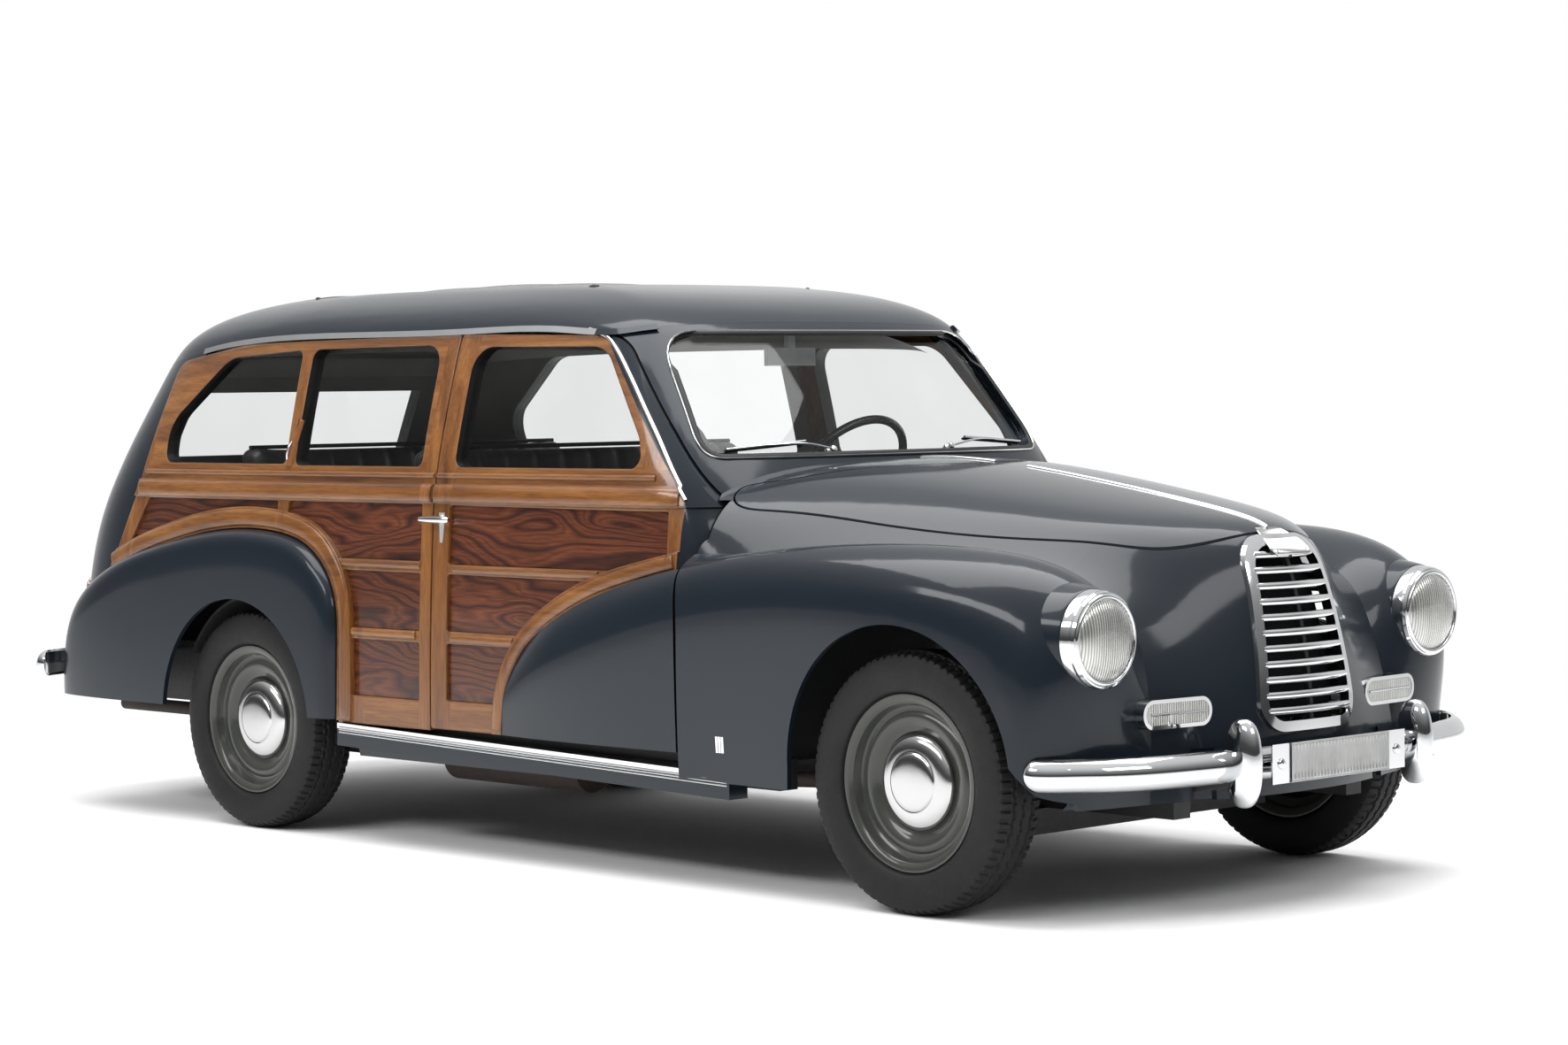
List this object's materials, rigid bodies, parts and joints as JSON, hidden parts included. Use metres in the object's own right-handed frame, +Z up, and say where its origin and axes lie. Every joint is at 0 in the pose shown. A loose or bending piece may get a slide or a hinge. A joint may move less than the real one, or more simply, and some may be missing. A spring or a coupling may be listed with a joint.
{
  "type": "station wagon",
  "caption": "Four-wheeled wood-sided estate car with two front-hinged doors, a rear-hinged bonnet, a split tailgate, steered front wheels and a fabric folding roof.",
  "frame": {"origin": "on the ground, at the middle of the car's length and width", "axes": "+X forward along the car, +Y to its left, +Z up"},
  "size_m": [4.45, 1.639, 1.5362],
  "materials": {
    "body_paint": "gloss",
    "wood": "satin",
    "veneer": "gloss",
    "roof_fabric": "matt",
    "chrome": "polished",
    "glass": "polished",
    "tyre": "matt",
    "wheel_paint": "semi-gloss",
    "steel": "matt black",
    "iron": "rough",
    "leather": "semi-gloss",
    "trim_plastic": "gloss",
    "lamp_red": "gloss",
    "plate_metal": "semi-gloss",
    "mirror_face": "polished"
  },
  "bodies": {
    "body": {"roof": "body_paint", "rear_wing_left": "body_paint", "rear_wing_right": "body_paint", "front_wing_left": "body_paint", "front_wing_right": "body_paint", "nose_panel": "body_paint", "scuttle": "body_paint", "tail_frame": "body_paint", "quarter_left": "wood", "quarter_right": "wood", "side_veneers": "veneer", "roof_cover": "roof_fabric", "grille": "chrome", "lamp_rims": "chrome", "front_bumper": "chrome", "rear_bumper": "chrome", "side_trims": "chrome", "windscreen": "glass", "quarter_glass": "glass", "lamp_lenses": "glass", "floor_pan": "steel", "wheelhouses": "steel", "frame_rails": "steel", "front_axle_beam": "steel", "rear_axle": "steel", "fuel_tank": "steel", "exhaust": "steel", "engine": "iron", "front_bench": "leather", "rear_bench": "leather", "dashboard": "trim_plastic", "steering_column": "trim_plastic", "tail_lamps": "lamp_red", "number_plate": "plate_metal", "mirror": "mirror_face"},
    "door_left": {"door_left": "wood", "door_glass_left": "glass", "door_wing_tail_left": "body_paint", "door_veneer_left": "veneer"},
    "door_right": {"door_right": "wood", "door_glass_right": "glass", "door_wing_tail_right": "body_paint", "door_veneer_right": "veneer"},
    "bonnet": {"bonnet": "body_paint"},
    "tailgate_upper": {"tailgate_upper": "wood", "tailgate_glass": "glass"},
    "tailgate_lower": {"tailgate_lower": "wood", "tailgate_veneer": "veneer"},
    "knuckle_left": {"knuckle_left": "steel"},
    "knuckle_right": {"knuckle_right": "steel"},
    "steering_wheel": {"steering_wheel": "trim_plastic"},
    "wheel_front_left": {"wheel_front_left": "wheel_paint", "tyre_front_left": "tyre"},
    "wheel_front_right": {"wheel_front_right": "wheel_paint", "tyre_front_right": "tyre"},
    "wheel_rear_left": {"wheel_rear_left": "wheel_paint", "tyre_rear_left": "tyre"},
    "wheel_rear_right": {"wheel_rear_right": "wheel_paint", "tyre_rear_right": "tyre"}
  },
  "joints": [
    {"name": "door_left_hinge", "type": "hinge", "parent": "body", "child": "door_left", "pos_m": [0.829, 0.765, 0.65], "axis": [0, 0, -1], "range_deg": [0, 65]},
    {"name": "door_right_hinge", "type": "hinge", "parent": "body", "child": "door_right", "pos_m": [0.829, -0.765, 0.65], "axis": [0, 0, 1], "range_deg": [0, 65]},
    {"name": "bonnet_hinge", "type": "hinge", "parent": "body", "child": "bonnet", "pos_m": [0.797, 0, 1.05], "axis": [0, -1, 0], "range_deg": [0, 50]},
    {"name": "tailgate_upper_hinge", "type": "hinge", "parent": "body", "child": "tailgate_upper", "pos_m": [-1.777, 0, 1.301], "axis": [0, 1, 0], "range_deg": [0, 80]},
    {"name": "tailgate_lower_hinge", "type": "hinge", "parent": "body", "child": "tailgate_lower", "pos_m": [-2.091, 0, 0.54], "axis": [0, -1, 0], "range_deg": [0, 85]},
    {"name": "steer_left", "type": "hinge", "parent": "body", "child": "knuckle_left", "pos_m": [1.535, 0.628, 0.31], "axis": [0, 0, 1], "range_deg": [-30, 30]},
    {"name": "steer_right", "type": "hinge", "parent": "body", "child": "knuckle_right", "pos_m": [1.535, -0.628, 0.31], "axis": [0, 0, 1], "range_deg": [-30, 30]},
    {"name": "steering_wheel_turn", "type": "hinge", "parent": "body", "child": "steering_wheel", "pos_m": [0.265, 0.33, 0.985], "axis": [-0.8091, 0, 0.5877], "range_deg": [-540, 540]},
    {"name": "wheel_front_left_spin", "type": "hinge", "parent": "knuckle_left", "child": "wheel_front_left", "pos_m": [1.535, 0.708, 0.31], "axis": [0, 1, 0], "continuous": true},
    {"name": "wheel_front_right_spin", "type": "hinge", "parent": "knuckle_right", "child": "wheel_front_right", "pos_m": [1.535, -0.708, 0.31], "axis": [0, 1, 0], "continuous": true},
    {"name": "wheel_rear_left_spin", "type": "hinge", "parent": "body", "child": "wheel_rear_left", "pos_m": [-1.065, 0.678, 0.31], "axis": [0, 1, 0], "continuous": true},
    {"name": "wheel_rear_right_spin", "type": "hinge", "parent": "body", "child": "wheel_rear_right", "pos_m": [-1.065, -0.678, 0.31], "axis": [0, 1, 0], "continuous": true}
  ],
  "couplings": [
    {"joint": "steer_right", "follows": "steer_left", "ratio": 1},
    {"joint": "steering_wheel_turn", "follows": "steer_left", "ratio": 18}
  ]
}
